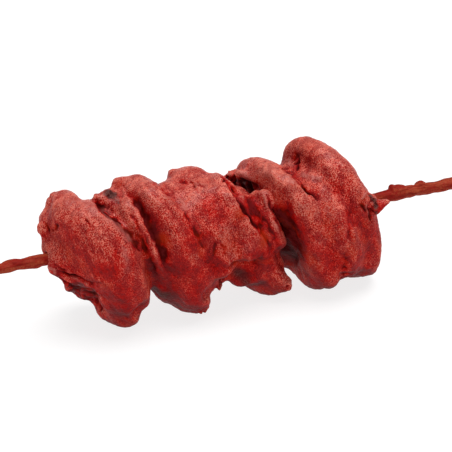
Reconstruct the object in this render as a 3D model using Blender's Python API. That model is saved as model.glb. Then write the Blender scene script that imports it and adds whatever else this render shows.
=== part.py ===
"""A grilled meat skewer: two strips of sauced meat, folded to and fro on one wooden stick.

Units are metres, +Z is up and the lobes of the meat rest on z = 0. The stick runs along +X,
from its sharpened tip to its handle. Sizes below are in millimetres and are turned into
metres where a mesh is made.
"""
import math
from dataclasses import dataclass

import bmesh
import bpy
from mathutils import Matrix, Vector

MM = 0.001

# The stick, measured from its tip.
STICK_LENGTH = 200.0
STICK_RADIUS = 1.5
STICK_SIDES = 12
STICK_HEIGHT = 29.0
POINT_LENGTH = 14.0
POINT_RADIUS = 0.35
STATION_STEP = 2.5

# How closely the pieces sit.
STICK_GAP = 0.3
STRIP_GAP = 0.4

# How far the meat's weight flattens the lobes, and how far its bulk lies beside the stick.
SETTLED = 1.0
BULK_ASIDE = 0.85

# How the strips are meshed: their folds are fused, smoothed, made uneven and thinned.
FOLD_SEGMENTS = 64
FOLD_RINGS = 32
RIM_SHARPNESS = 0.8
FACE_SHARPNESS = 0.85
VOXEL = 1.0
SMOOTH_FACTOR = 0.5
SMOOTH_ROUNDS = 7
RELIEF_SCALE = 9.0
RELIEF_DEPTH = 1.6
RELIEF_OCTAVES = 2
TIP_STRIP_FACES = 6200
HANDLE_STRIP_FACES = 4600

# The side of a block that cuts a flat face, larger than anything that it cuts.
BLOCK_SIDE = 400.0

MEAT_COLOUR = (0.40, 0.035, 0.022)
MEAT_ROUGHNESS = 0.42
WOOD_COLOUR = (0.42, 0.09, 0.04)
WOOD_ROUGHNESS = 0.55


@dataclass(frozen=True)
class Lump:
    """Dried sauce on the stick: where it is, how thick it gets and how far it spreads."""

    along: float
    thickness: float
    spread: float


SAUCE_LUMPS = (
    Lump(33.0, 0.50, 11.0),
    Lump(146.0, 0.45, 2.6),
    Lump(154.0, 0.75, 4.2),
    Lump(163.5, 0.60, 3.6),
    Lump(173.0, 0.70, 5.6),
    Lump(183.5, 0.30, 5.0),
)


@dataclass(frozen=True)
class Fold:
    """One pass of a strip across the stick: a thick leaf of meat with rounded edges.

    Its middle lies at a distance along the stick from the tip, to the stick's side and over
    the floor. Its thickness runs along the stick, its width across it and its height upwards.
    It leans towards the tip, is yawed about the vertical and rolled in its own plane. A taper
    makes it thicker towards the top.
    """

    along: float
    aside: float
    height: float
    half_thickness: float
    half_width: float
    half_height: float
    lean: float
    yaw: float
    roll: float
    taper: float = 0.0


@dataclass(frozen=True)
class Parting:
    """The slanted face where the two strips press on each other."""

    along: float
    height: float
    lean: float
    yaw: float


# The first strip, from the tip on: its folds stand up and the passes between them are lower.
TIP_FOLDS = (
    # The first fold, and the meat that bulges round the stick and beside it at the tip's end.
    Fold(47.8, 0.3, 25.8, 9.2, 19.6, 27.2, 24.5, 17.0, 9.0),
    Fold(41.5, 0.0, 28.0, 7.0, 8.0, 9.0, 22.0, 17.0, 0.0),
    Fold(36.8, 8.0, 36.0, 3.4, 6.0, 6.0, 22.0, 17.0, 0.0),
    # The pass between the first fold and the second, then the second fold.
    Fold(61.8, 2.0, 28.0, 4.8, 16.5, 21.5, 25.0, 11.0, 11.0),
    Fold(70.8, 0.2, 26.3, 8.0, 18.8, 27.8, 22.5, 13.0, 8.0),
    # The pass between the second fold and the third, then the third fold.
    Fold(81.5, -1.0, 28.5, 7.2, 17.5, 20.5, 25.0, 14.0, 2.0),
    Fold(90.0, 1.2, 28.6, 9.0, 19.0, 23.8, 25.0, 14.0, 5.0, taper=0.15),
    # The wedge at the strip's end, and the third fold's lobe under it.
    Fold(101.3, 0.0, 28.8, 5.0, 14.0, 13.5, 22.0, 16.0, 0.0),
    Fold(104.3, 4.5, 15.5, 6.5, 14.5, 15.5, 16.0, 12.0, 0.0),
)

# The overhang in front of the third fold's lobe.
TIP_HOLLOWS = (
    Fold(94.0, -17.0, 10.0, 9.0, 14.0, 13.0, 0.0, 12.0, 0.0),
)

# The second strip, up to the handle's end.
HANDLE_FOLDS = (
    # The fourth fold, the pass behind it and the fifth fold.
    Fold(114.2, 1.5, 24.9, 7.2, 21.4, 26.4, 22.5, 14.0, 8.0),
    Fold(123.0, -3.0, 26.0, 7.4, 18.8, 21.5, 22.0, 12.0, 2.0),
    Fold(130.8, 2.0, 27.2, 8.5, 19.6, 28.4, 22.0, 13.0, 8.0),
    # The knob at the fifth fold's top.
    Fold(121.5, 7.0, 44.5, 5.0, 5.0, 7.0, 22.0, 14.0, 0.0),
)

# The open corner between the third fold's lobe and the fourth fold's.
HANDLE_HOLLOWS = (
    Fold(107.5, -14.0, 12.0, 5.5, 8.0, 8.0, 20.0, 14.0, 0.0),
)

PARTING = Parting(along=108.0, height=26.0, lean=21.0, yaw=14.0)


def signed_power(value, power):
    """Raise the size of a number to a power and keep its sign."""
    return math.copysign(abs(value) ** power, value)


def leaf_axes(lean, yaw):
    """Return the thickness, width and height directions of a leaf that leans towards the tip."""
    turned = Matrix.Rotation(math.radians(yaw), 3, "Z")
    leaned = Matrix.Rotation(-math.radians(lean), 3, "Y")
    return turned @ leaned


def place_on_stick(along, aside, height):
    """Turn distances from the tip, the stick's side and the floor into a point in metres."""
    return Vector((along - STICK_LENGTH / 2.0, aside - BULK_ASIDE, height - SETTLED)) * MM


def add_fold(bm, fold):
    """Add one fold to a mesh as a rounded leaf."""
    made = bmesh.ops.create_uvsphere(
        bm, u_segments=FOLD_SEGMENTS, v_segments=FOLD_RINGS, radius=1.0
    )
    axes = leaf_axes(fold.lean, fold.yaw)
    centre = place_on_stick(fold.along, fold.aside, fold.height)
    roll = math.radians(fold.roll)
    for vert in made["verts"]:
        pole = max(-1.0, min(1.0, vert.co.z))
        rim = math.sqrt(max(0.0, 1.0 - pole * pole))
        around = math.atan2(vert.co.y, vert.co.x)
        reach = rim ** RIM_SHARPNESS
        wide = fold.half_width * reach * signed_power(math.cos(around), FACE_SHARPNESS)
        tall = fold.half_height * reach * signed_power(math.sin(around), FACE_SHARPNESS)
        deep = fold.half_thickness * signed_power(pole, RIM_SHARPNESS)
        deep = deep * (1.0 + fold.taper * tall / fold.half_height)
        across = wide * math.cos(roll) - tall * math.sin(roll)
        upward = wide * math.sin(roll) + tall * math.cos(roll)
        vert.co = centre + axes @ (Vector((deep, across, upward)) * MM)


def new_object(name, bm):
    """Put a finished mesh in the scene under the given name."""
    bmesh.ops.recalc_face_normals(bm, faces=bm.faces)
    if bm.calc_volume(signed=True) < 0.0:
        bmesh.ops.reverse_faces(bm, faces=bm.faces)
    mesh = bpy.data.meshes.new(name)
    bm.to_mesh(mesh)
    bm.free()
    made = bpy.data.objects.new(name, mesh)
    bpy.context.collection.objects.link(made)
    return made


def guide(made):
    """Mark an object as a cutter that isn't part of the skewer."""
    made.hide_render = True
    made.display_type = "WIRE"
    return made


def material(name, colour, roughness):
    """Make a plain material with the part's colour."""
    made = bpy.data.materials.new(name)
    made.use_nodes = True
    shader = made.node_tree.nodes["Principled BSDF"]
    shader.inputs["Base Color"].default_value = (*colour, 1.0)
    shader.inputs["Roughness"].default_value = roughness
    shader.inputs["Metallic"].default_value = 0.0
    return made


def stick_radius(along):
    """Return the stick's radius at a distance from its tip, dried sauce included."""
    share = min(1.0, along / POINT_LENGTH)
    radius = POINT_RADIUS + (STICK_RADIUS - POINT_RADIUS) * share
    for lump in SAUCE_LUMPS:
        radius += lump.thickness * share * math.exp(-((along - lump.along) / lump.spread) ** 2)
    return radius


def stick_mesh(extra):
    """Turn the stick's profile about its axis, with its radius raised by the given amount."""
    bm = bmesh.new()
    steps = round(STICK_LENGTH / STATION_STEP)
    rings = []
    for step in range(steps + 1):
        along = STICK_LENGTH * step / steps
        radius = stick_radius(along) + extra
        ring = []
        for side in range(STICK_SIDES):
            turn = 2.0 * math.pi * side / STICK_SIDES
            offset = Vector((0.0, math.cos(turn), math.sin(turn))) * radius * MM
            ring.append(bm.verts.new(place_on_stick(along, 0.0, STICK_HEIGHT) + offset))
        rings.append(ring)
    for lower, upper in zip(rings, rings[1:]):
        for side in range(STICK_SIDES):
            after = (side + 1) % STICK_SIDES
            bm.faces.new((lower[side], lower[after], upper[after], upper[side]))
    bm.faces.new(rings[0])
    bm.faces.new(rings[-1])
    return bm


def add_modifier(made, kind, name, **settings):
    """Add a modifier with its settings and return it."""
    modifier = made.modifiers.new(name, kind)
    for key, value in settings.items():
        setattr(modifier, key, value)
    return modifier


def relief_texture():
    """Make the cloudy pattern that gives the meat its uneven surface."""
    texture = bpy.data.textures.new("meat_relief", "CLOUDS")
    texture.noise_scale = RELIEF_SCALE * MM
    texture.noise_depth = RELIEF_OCTAVES
    return texture


def leaves(name, folds):
    """Put several rounded leaves in one object."""
    bm = bmesh.new()
    for fold in folds:
        add_fold(bm, fold)
    return new_object(name, bm)


def fused_folds(name, folds, hollows, texture, faces):
    """Join a strip's folds into one skin, smooth it, roughen it and thin its faces."""
    strip = leaves(name, folds)
    add_modifier(strip, "REMESH", "fuse", mode="VOXEL", voxel_size=VOXEL * MM)
    cut(strip, guide(leaves(name + "_hollows", hollows)), "hollows")
    add_modifier(strip, "REMESH", "blend", mode="VOXEL", voxel_size=VOXEL * MM)
    add_modifier(strip, "SMOOTH", "soften", factor=SMOOTH_FACTOR, iterations=SMOOTH_ROUNDS)
    add_modifier(
        strip, "DISPLACE", "relief", texture=texture, texture_coords="LOCAL",
        strength=RELIEF_DEPTH * MM, mid_level=0.5,
    )
    depsgraph = bpy.context.evaluated_depsgraph_get()
    fused = bpy.data.meshes.new_from_object(strip.evaluated_get(depsgraph))
    strip.modifiers.clear()
    strip.data = fused
    triangles = sum(len(face.vertices) - 2 for face in fused.polygons)
    add_modifier(strip, "DECIMATE", "thin", ratio=faces / triangles)
    return strip


def block(name, spot, outward, turn):
    """Make a cubic cutter that lies behind a spot, seen against an outward axis of its turn."""
    bm = bmesh.new()
    centre = spot - turn @ outward * (BLOCK_SIDE * MM / 2.0)
    shape = Matrix.Translation(centre) @ turn.to_4x4()
    bmesh.ops.create_cube(bm, size=BLOCK_SIDE * MM, matrix=shape)
    return guide(new_object(name, bm))


def floor_block():
    """Make the cutter that flattens the lobes where they rest."""
    return block("floor_block", Vector(), Vector((0.0, 0.0, 1.0)), Matrix.Identity(3))


def parting_block(name, side):
    """Make the cutter that keeps a strip on its own side of the parting face.

    The side is 1 towards the handle and -1 towards the tip.
    """
    axes = leaf_axes(PARTING.lean, PARTING.yaw)
    outward = Vector((side, 0.0, 0.0))
    spot = place_on_stick(PARTING.along, 0.0, PARTING.height)
    return block(name, spot + axes @ outward * (STRIP_GAP * MM / 2.0), outward, axes)


def cut(made, cutter, name):
    """Take a cutter's volume away from a piece."""
    add_modifier(made, "BOOLEAN", name, operation="DIFFERENCE", object=cutter)


def build():
    """Build the whole skewer."""
    for old in list(bpy.data.objects):
        bpy.data.objects.remove(old, do_unlink=True)

    meat = material("sauced_meat", MEAT_COLOUR, MEAT_ROUGHNESS)
    wood = material("sauced_wood", WOOD_COLOUR, WOOD_ROUGHNESS)
    texture = relief_texture()

    stick = new_object("stick", stick_mesh(0.0))
    stick.data.materials.append(wood)
    channel = guide(new_object("stick_channel", stick_mesh(STICK_GAP)))
    floor = floor_block()

    strips = (
        ("tip_strip", TIP_FOLDS, TIP_HOLLOWS, TIP_STRIP_FACES, -1.0),
        ("handle_strip", HANDLE_FOLDS, HANDLE_HOLLOWS, HANDLE_STRIP_FACES, 1.0),
    )
    for name, folds, hollows, faces, side in strips:
        strip = fused_folds(name, folds, hollows, texture, faces)
        strip.data.materials.append(meat)
        cut(strip, floor, "rest_flat")
        cut(strip, parting_block(name + "_parting", side), "parting")
        cut(strip, channel, "channel")


build()
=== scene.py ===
"""The looks of a grilled meat skewer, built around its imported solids.

Two strips of meat lie folded on a wooden stick, under a dried red sauce. Each strip starts
as a copy of its solid, which is remeshed finely and then sculpted: creases, pockets, fibres
and grain are moved into the skin, and the same marks are kept as attributes that the sauce's
finish reads. Marks that show in the photograph are placed by their pixels in its frame of
452 x 452, and are thrown on to the skin along the camera's rays. Marks on the back are
placed in millimetres.
"""
import logging
import math
from dataclasses import dataclass
from enum import Enum

import bpy
import numpy as np
from mathutils import Euler, Matrix, Vector, noise
from mathutils.bvhtree import BVHTree


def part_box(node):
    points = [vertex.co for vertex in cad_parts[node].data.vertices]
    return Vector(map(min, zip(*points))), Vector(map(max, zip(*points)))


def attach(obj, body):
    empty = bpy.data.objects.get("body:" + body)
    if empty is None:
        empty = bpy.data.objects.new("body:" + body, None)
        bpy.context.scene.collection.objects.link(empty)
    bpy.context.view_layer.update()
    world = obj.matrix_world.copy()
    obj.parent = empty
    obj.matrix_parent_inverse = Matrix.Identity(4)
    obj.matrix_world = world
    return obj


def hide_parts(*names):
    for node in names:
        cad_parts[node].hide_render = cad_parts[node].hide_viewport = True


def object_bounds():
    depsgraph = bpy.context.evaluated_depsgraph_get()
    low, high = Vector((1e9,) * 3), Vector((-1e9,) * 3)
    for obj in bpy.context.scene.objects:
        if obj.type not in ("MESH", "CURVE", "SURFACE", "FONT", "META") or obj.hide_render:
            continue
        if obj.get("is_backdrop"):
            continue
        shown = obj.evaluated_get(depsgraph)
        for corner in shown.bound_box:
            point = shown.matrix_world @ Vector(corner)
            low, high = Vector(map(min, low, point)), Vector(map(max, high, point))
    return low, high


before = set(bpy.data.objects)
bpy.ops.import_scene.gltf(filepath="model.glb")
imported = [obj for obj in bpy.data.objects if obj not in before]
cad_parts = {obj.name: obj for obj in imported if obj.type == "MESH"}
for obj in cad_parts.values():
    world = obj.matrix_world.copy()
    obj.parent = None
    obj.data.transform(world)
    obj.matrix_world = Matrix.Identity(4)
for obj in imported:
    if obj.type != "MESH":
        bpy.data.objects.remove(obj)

Piece = bpy.types.Object
Socket = bpy.types.NodeSocket
Triple = tuple[float, float, float]
Spot = tuple[float, float]

MM = 0.001
WHITE = (1.0, 1.0, 1.0)
ORANGE = (0.45, 0.024, 0.004)
# Loose triangles of a solid are merged within this distance.
MERGE = 0.02 * MM
# The meat's fibres lean by the second of these and turn by the third, in degrees.
FIBRE_TURN = (0.0, 23.0, -14.0)
log = logging.getLogger("skewer")


def deselect_all() -> None:
    """Leave object mode with nothing selected."""
    if bpy.context.object and bpy.context.object.mode != "OBJECT":
        bpy.ops.object.mode_set(mode="OBJECT")
    bpy.ops.object.select_all(action="DESELECT")


def select_only(piece: Piece) -> None:
    """Select one object and make it active.

    Args:
        piece: the object.
    """
    deselect_all()
    piece.select_set(True)
    bpy.context.view_layer.objects.active = piece


def join_to(piece: Piece, others: list[Piece]) -> None:
    """Join other objects to a piece.

    Args:
        piece: the piece, which keeps its name.
        others: the objects that become part of it.
    """
    select_only(piece)
    for other in others:
        other.select_set(True)
    bpy.ops.object.join()


def copy_solid(name: str, node: str) -> Piece:
    """Copy a solid's mesh and merge its loose triangles.

    Args:
        name: the new piece's name.
        node: the solid's node.

    Returns:
        The new piece.
    """
    made = bpy.data.objects.new(name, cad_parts[node].data.copy())
    bpy.context.scene.collection.objects.link(made)
    made.data.materials.clear()
    select_only(made)
    bpy.ops.object.mode_set(mode="EDIT")
    bpy.ops.mesh.select_all(action="SELECT")
    bpy.ops.mesh.remove_doubles(threshold=MERGE)
    bpy.ops.object.mode_set(mode="OBJECT")
    return made


def remesh(piece: Piece, voxel: float) -> None:
    """Make a piece one closed skin of small even faces.

    Args:
        piece: the piece.
        voxel: the faces' spacing in millimetres.
    """
    select_only(piece)
    modifier = piece.modifiers.new("remesh", "REMESH")
    modifier.mode = "VOXEL"
    modifier.voxel_size = voxel * MM
    bpy.ops.object.modifier_apply(modifier=modifier.name)


class View:
    """A side that marks are thrown from.

    A view's unit is in millimetres, and upright is -1 where its second number runs down.
    """

    unit: float = 1.0
    upright: float = 1.0

    def ray(self, first: float, second: float) -> tuple[Vector, Vector]:
        """Turn a spot of the view into a ray, as a start and a direction."""
        raise NotImplementedError

    def flatten(self, points: np.ndarray) -> np.ndarray:
        """Return where points lie in the view, two columns in its own units."""
        raise NotImplementedError


@dataclass(frozen=True)
class Photograph(View):
    """The photograph's view: where its camera stands and how wide its frame is."""

    pixels: int = 452
    azimuth: float = -24.0
    elevation: float = 25.0
    distance: float = 600.0
    frame_width: float = 144.64
    sensor: float = 36.0
    nearest: float = 0.01
    along_from_middle: float = -7.9
    upright: float = -1.0

    @property
    def unit(self) -> float:
        """Return the size of a pixel in millimetres."""
        return self.frame_width / self.pixels

    def target(self) -> Vector:
        """Find where the camera looks.

        Returns:
            A point on the stick's axis.
        """
        low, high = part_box("stick")
        middle = (low + high) / 2.0
        return Vector((self.along_from_middle * MM, middle.y, middle.z))

    def back(self) -> Vector:
        """Turn the camera's azimuth and elevation into a direction.

        Returns:
            The direction from the target to the camera.
        """
        turn, tilt = math.radians(self.azimuth), math.radians(self.elevation)
        level = math.cos(tilt)
        return Vector((math.sin(turn) * level, -math.cos(turn) * level, math.sin(tilt)))

    def eye(self) -> Vector:
        """Return where the camera stands."""
        return self.target() + self.back() * self.distance * MM

    def axes(self) -> Matrix:
        """Return the camera's axes as the columns of a matrix."""
        return self.back().to_track_quat("Z", "Y").to_matrix()

    def ray(self, first: float, second: float) -> tuple[Vector, Vector]:
        """Turn a pixel into a ray.

        Args:
            first: the pixel's place across.
            second: its place down.

        Returns:
            The ray's start and direction.
        """
        half = self.pixels / 2.0
        across = (first - half) * self.unit * MM
        upward = (half - second) * self.unit * MM
        local = Vector((across, upward, -self.distance * MM))
        return self.eye(), (self.axes() @ local).normalized()

    def flatten(self, points: np.ndarray) -> np.ndarray:
        """Find the pixels that points fall on.

        Args:
            points: the points, one in each row.

        Returns:
            Their places across and down, in two columns.
        """
        local = (points - np.array(self.eye())) @ np.array(self.axes())
        reach = self.distance / self.unit
        half = self.pixels / 2.0
        across = half - local[:, 0] / local[:, 2] * reach
        down = half + local[:, 1] / local[:, 2] * reach
        return np.stack([across, down], axis=1)

    def shift(self, right: float, up: float) -> np.ndarray:
        """Return a move across the photograph, given in pixels."""
        axes = self.axes()
        return np.array(axes.col[0] * right + axes.col[1] * up) * self.unit * MM

    def place_camera(self) -> None:
        """Make the camera and give it to the scene."""
        lens = bpy.data.cameras.new("camera")
        lens.sensor_width = self.sensor
        lens.lens = self.sensor * self.distance / self.frame_width
        lens.clip_start = self.nearest
        camera = bpy.data.objects.new("camera", lens)
        bpy.context.scene.collection.objects.link(camera)
        camera.location = self.eye()
        camera.rotation_euler = self.axes().to_euler()
        bpy.context.scene.camera = camera


@dataclass(frozen=True)
class Level(View):
    """A view square on to the part, in millimetres from the frame's origin."""

    across: Triple
    upward: Triple
    reach: float = 200.0

    def ray(self, first: float, second: float) -> tuple[Vector, Vector]:
        """Turn a spot of the view into a ray.

        Args:
            first: the spot's place across.
            second: its height.

        Returns:
            The ray's start and direction.
        """
        toward = Vector(self.across).cross(Vector(self.upward))
        spot = Vector(self.across) * first + Vector(self.upward) * second
        return (spot + toward * self.reach) * MM, -toward

    def flatten(self, points: np.ndarray) -> np.ndarray:
        """Return where points lie in the view, in millimetres across and up."""
        return points @ np.array([self.across, self.upward]).T / MM


class Side(Enum):
    """From where a mark is thrown on to the meat."""

    PHOTO = "photo"
    BACK = "back"


PHOTOGRAPH = Photograph()
VIEWS = {
    Side.PHOTO: PHOTOGRAPH,
    Side.BACK: Level((-1.0, 0.0, 0.0), (0.0, 0.0, 1.0)),
}


@dataclass(frozen=True)
class Crease:
    """A line pressed into the meat, or raised out of it where its depth is negative.

    The points are pixels on the photograph's side, and millimetres across and up on the
    back. A ledge raises what lies on the line's left as one walks along it in the picture,
    and lets the other side drop away under it. Other lengths are in millimetres.
    """

    points: tuple[Spot, ...]
    width: float
    depth: float
    ledge: float = 0.0
    # Shade painted into the colour along the line, and painted light where it is negative.
    stain: float = 0.0
    # A pale colour along the line, partly fat and partly a painted highlight on a lit ridge.
    pale: float = 0.0
    side: Side = Side.PHOTO


@dataclass(frozen=True)
class Pocket:
    """A round hollow, or a swelling where its depth is negative, or a mere tint."""

    spot: Spot
    radius: float
    depth: float = 0.0
    # Shade painted into the colour, and painted light where it is negative.
    stain: float = 0.0
    # Char, partly real burnt bits and partly painted shade under the lobes.
    char: float = 0.0
    orange: float = 0.0
    # A pale colour, partly fat and partly a painted highlight.
    pale: float = 0.0
    side: Side = Side.PHOTO


@dataclass(frozen=True)
class Pull:
    """Meat taken at a pixel and drawn right and up across the photograph, by pixels.

    A pull through the meat takes all that lies behind the spot too, and so moves an outline.
    """

    spot: Spot
    shift: Spot
    radius: float
    through: bool = False


@dataclass(frozen=True)
class Scrap:
    """A ragged bit that is fused on.

    It sits where its pixel meets the meat, moved across the view and towards the viewer by
    millimetres. Its half sizes run across, up and towards the viewer, turned in the view.
    """

    spot: Spot
    half: Triple
    move: Triple = (0.0, 0.0, 0.0)
    turn: float = 0.0


@dataclass(frozen=True)
class Tear:
    """A pixel where the meat's skin is torn into small rough bits."""

    spot: Spot
    radius: float
    depth: float


@dataclass(frozen=True)
class Relief:
    """A noise that moves the skin in and out, with its bump size and depth in millimetres.

    The noise is turned by degrees and then scaled, so that it can make fibres.
    """

    size: float
    depth: float
    seed: float
    scale: Triple = (1.0, 1.0, 1.0)
    turn: Triple = (0.0, 0.0, 0.0)

    def matrix(self) -> Matrix:
        """Work out how the noise lies.

        Returns:
            What turns a place into a place in the noise.
        """
        _, lean, yaw = (math.radians(angle) for angle in self.turn)
        leaning = Euler((0.0, lean, 0.0)).to_matrix()
        turning = Euler((0.0, 0.0, yaw)).to_matrix()
        return Matrix.Diagonal(self.scale) @ leaning @ turning * (1.0 / (self.size * MM))


@dataclass(frozen=True)
class Stroke:
    """How a line is pressed into the skin, its lengths in millimetres."""

    # The line strays from its points by two noises, one for each direction.
    stray: float = 0.7
    strays: tuple[Relief, Relief] = (Relief(2.4, 1.0, 31.0), Relief(2.4, 1.0, 47.0))
    # It is deeper here and shallower there, more so where it is narrow.
    patches: Relief = Relief(3.0, 1.0, 59.0)
    patch_share: float = 0.7
    patch_most: float = 1.4
    shallowest: float = 0.4
    deepest: float = 1.6
    # It fades towards both of its ends.
    end_rise: float = 5.0
    end_depth: float = 0.15
    # It keeps to the skin near its own place, and doesn't reach what lies behind.
    room: float = 3.0
    room_by_width: float = 2.5
    fade: float = 2.0
    # A ledge's edge is sharp, its rise is wide, and a plain line's painted shade is a little
    # wider.
    edge: float = 0.25
    rise: float = 2.5
    tint: float = 1.3
    normal_rounds: int = 14
    steps: tuple[float, ...] = (0.0, 0.33, 0.67, 1.0)


@dataclass
class Trace:
    """How each vertex lies to a line.

    The gap is its distance across the view, and close is its distance from the line's own
    place on the skin, both in millimetres. The hand is 1 on the line's left and -1 on its
    right, and the share runs from 0 at the line's start to 1 at its end.
    """

    gap: np.ndarray
    close: np.ndarray
    hand: np.ndarray
    share: np.ndarray


STROKE = Stroke()
SWELLS = (
    Relief(6.0, 0.55, 0.0, (1.0, 1.0, 0.5), FIBRE_TURN),
    Relief(2.8, 0.16, 5.0, (1.0, 1.0, 0.5), FIBRE_TURN),
)
FIBRES = (
    Relief(1.8, 0.14, 3.0, (1.0, 1.0, 0.25), FIBRE_TURN),
    Relief(1.0, 0.12, 7.0),
)
TORN = (Relief(1.5, 2.0, 0.0), Relief(0.9, 1.2, 2.0))
DRIED = (
    Relief(3.5, 0.4, 2.0, (0.6, 1.0, 1.0)),
    Relief(1.2, 0.2, 5.0, (0.5, 1.0, 1.0)),
)


def fuse_scraps(piece: Piece, scraps: tuple[Scrap, ...]) -> None:
    """Model each scrap as a lump where it belongs, and join them to a piece.

    Args:
        piece: what the scraps are fused to, before it is remeshed.
        scraps: the scraps.
    """
    tree = BVHTree.FromObject(piece, bpy.context.evaluated_depsgraph_get())
    axes = PHOTOGRAPH.axes()
    stick_painted_shade = []
    for scrap in scraps:
        found = tree.ray_cast(*PHOTOGRAPH.ray(*scrap.spot))[0]
        if found is None:
            log.info("nothing under the scrap at %s", scrap.spot)
            continue
        deselect_all()
        bpy.ops.mesh.primitive_ico_sphere_add(
            subdivisions=4, radius=1.0, location=found + axes @ Vector(scrap.move) * MM
        )
        lump = bpy.context.object
        turned = axes @ Matrix.Rotation(math.radians(scrap.turn), 3, "Z")
        lump.rotation_euler = turned.to_euler()
        lump.scale = [half * MM for half in scrap.half]
        stick_painted_shade.append(lump)
    join_to(piece, stick_painted_shade)


class Skin:
    """A finely meshed surface that is shaped vertex by vertex.

    Its marks are what the finish reads: those of the tables, and what the shape itself
    tells. WIDE_REACH is how far the shape is smoothed, in millimetres, to tell its hollows.
    """

    MARKS = ("stain", "char", "orange", "pale")
    SEED_WAYS = (1.0, 1.7, -1.0)
    FAR = 1.0e3
    NORMAL_ROUNDS = 3
    WIDE_REACH = 4.5
    NARROW_SHARE = 12
    RECESS_ROUNDS = 2
    CROWN_ROUNDS = 4

    def __init__(self, piece: Piece) -> None:
        """Read a piece's mesh.

        Args:
            piece: the piece, which has been remeshed.
        """
        self.piece = piece
        mesh = piece.data
        count = len(mesh.vertices)
        flat = np.empty(count * 3, np.float32)
        mesh.vertices.foreach_get("co", flat)
        self.points = flat.reshape(-1, 3).astype(float)
        edges = np.empty(len(mesh.edges) * 2, np.int32)
        mesh.edges.foreach_get("vertices", edges)
        self.edges = edges.reshape(-1, 2)
        degree = np.bincount(self.edges.ravel(), minlength=count)
        self.degree = np.maximum(degree, 1)[:, None].astype(float)
        self.marks = {name: np.zeros(count) for name in self.MARKS}
        self.refresh()

    def refresh(self) -> None:
        """Write the points back and read the normals again."""
        mesh = self.piece.data
        mesh.vertices.foreach_set("co", self.points.astype(np.float32).ravel())
        mesh.update()
        flat = np.empty(len(self.points) * 3, np.float32)
        mesh.vertex_normals.foreach_get("vector", flat)
        self.normals = self.directions(flat.reshape(-1, 3), self.NORMAL_ROUNDS)

    def directions(self, values: np.ndarray, rounds: int) -> np.ndarray:
        """Smooth a field of directions over the surface.

        Args:
            values: one direction for each vertex.
            rounds: how often each is drawn to its neighbours.

        Returns:
            The smoothed directions, each of length 1.
        """
        smooth = self.averaged(values, rounds)
        length = np.linalg.norm(smooth, axis=1, keepdims=True)
        return smooth / np.maximum(length, 1e-9)

    def plant(self) -> None:
        """Read the search tree again, which throwing marks needs."""
        self.tree = BVHTree.FromObject(self.piece, bpy.context.evaluated_depsgraph_get())

    def averaged(self, values: np.ndarray, rounds: int) -> np.ndarray:
        """Smooth values over the surface.

        Args:
            values: one value or one row for each vertex.
            rounds: how often each value moves halfway to its neighbours' mean.

        Returns:
            The smoothed values.
        """
        first, second = self.edges[:, 0], self.edges[:, 1]
        result = values.astype(float).reshape(len(values), -1)
        for _ in range(rounds):
            total = np.zeros_like(result)
            for column in range(result.shape[1]):
                line = result[:, column]
                total[:, column] = np.bincount(first, line[second], len(result))
                total[:, column] += np.bincount(second, line[first], len(result))
            result = 0.5 * result + 0.5 * total / self.degree
        return result.reshape(values.shape)

    def soften(self, rounds: int) -> None:
        """Smooth the surface itself."""
        self.points = self.averaged(self.points, rounds)
        self.refresh()

    def cast(self, side: Side, spot: Spot) -> Vector | None:
        """Throw one spot of a view on to the surface and return what it hits, if anything."""
        return self.tree.ray_cast(*VIEWS[side].ray(*spot))[0]

    def near(self, side: Side, spot: Spot, radius: float) -> np.ndarray:
        """Weigh the vertices round a spot.

        Args:
            side: the view that the spot is given in.
            spot: the spot, in that view's units.
            radius: how wide the weight reaches, in millimetres.

        Returns:
            A weight from 0 to 1 for each vertex, all 0 where the spot misses the surface.
        """
        found = self.cast(side, spot)
        if found is None:
            log.info("no meat under the spot %s", spot)
            return np.zeros(len(self.points))
        gap = np.linalg.norm(self.points - np.array(found), axis=1) / (radius * MM)
        return np.exp(-(gap**2))

    def pull(self, pulls: tuple[Pull, ...]) -> None:
        """Draw the meat across the photograph at each of some spots.

        Args:
            pulls: the spots, which are worked through in order.
        """
        self.plant()
        for mark in pulls:
            if mark.through:
                away = (PHOTOGRAPH.flatten(self.points) - np.array(mark.spot)) * PHOTOGRAPH.unit
                weight = np.exp(-(away**2).sum(1) / mark.radius**2)
            else:
                weight = self.near(Side.PHOTO, mark.spot, mark.radius)
            self.points += weight[:, None] * PHOTOGRAPH.shift(*mark.shift)
        self.refresh()

    def noises(self, relief: Relief, seed: float = 0.0) -> np.ndarray:
        """Read a relief's noise at each vertex.

        Args:
            relief: the noise.
            seed: shifts the noise further than its own seed does.

        Returns:
            A value for each vertex, about -0.5 to 0.5.
        """
        matrix = relief.matrix()
        shift = Vector([(seed + relief.seed) * way for way in self.SEED_WAYS])
        return np.array([noise.noise(matrix @ Vector(point) + shift) for point in self.points])

    def tear(self, tears: tuple[Tear, ...], seed: float) -> None:
        """Roughen the skin at some spots.

        Args:
            tears: the spots.
            seed: shifts the noise.
        """
        self.plant()
        swing = sum(self.noises(relief, seed) * relief.depth for relief in TORN)
        total = np.zeros(len(self.points))
        for mark in tears:
            weight = self.near(Side.PHOTO, mark.spot, mark.radius)
            total = np.maximum(total, weight * mark.depth)
        self.points += self.normals * (swing * total * MM)[:, None]
        self.refresh()

    def hollow(self, pockets: tuple[Pocket, ...]) -> None:
        """Press round hollows into the surface, each along its own normal.

        Args:
            pockets: the hollows, which are worked through in order.
        """
        self.plant()
        for mark in pockets:
            weight = self.near(mark.side, mark.spot, mark.radius)
            way = -self.normals[int(weight.argmax())]
            self.points += weight[:, None] * way * mark.depth * MM
            # Each pocket also paints shade, painted light where that is negative, char that is
            # partly painted shade, orange, and a pale colour that is partly a painted
            # highlight.
            for name in self.MARKS:
                self.marks[name] += getattr(mark, name) * weight
            self.refresh()

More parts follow.
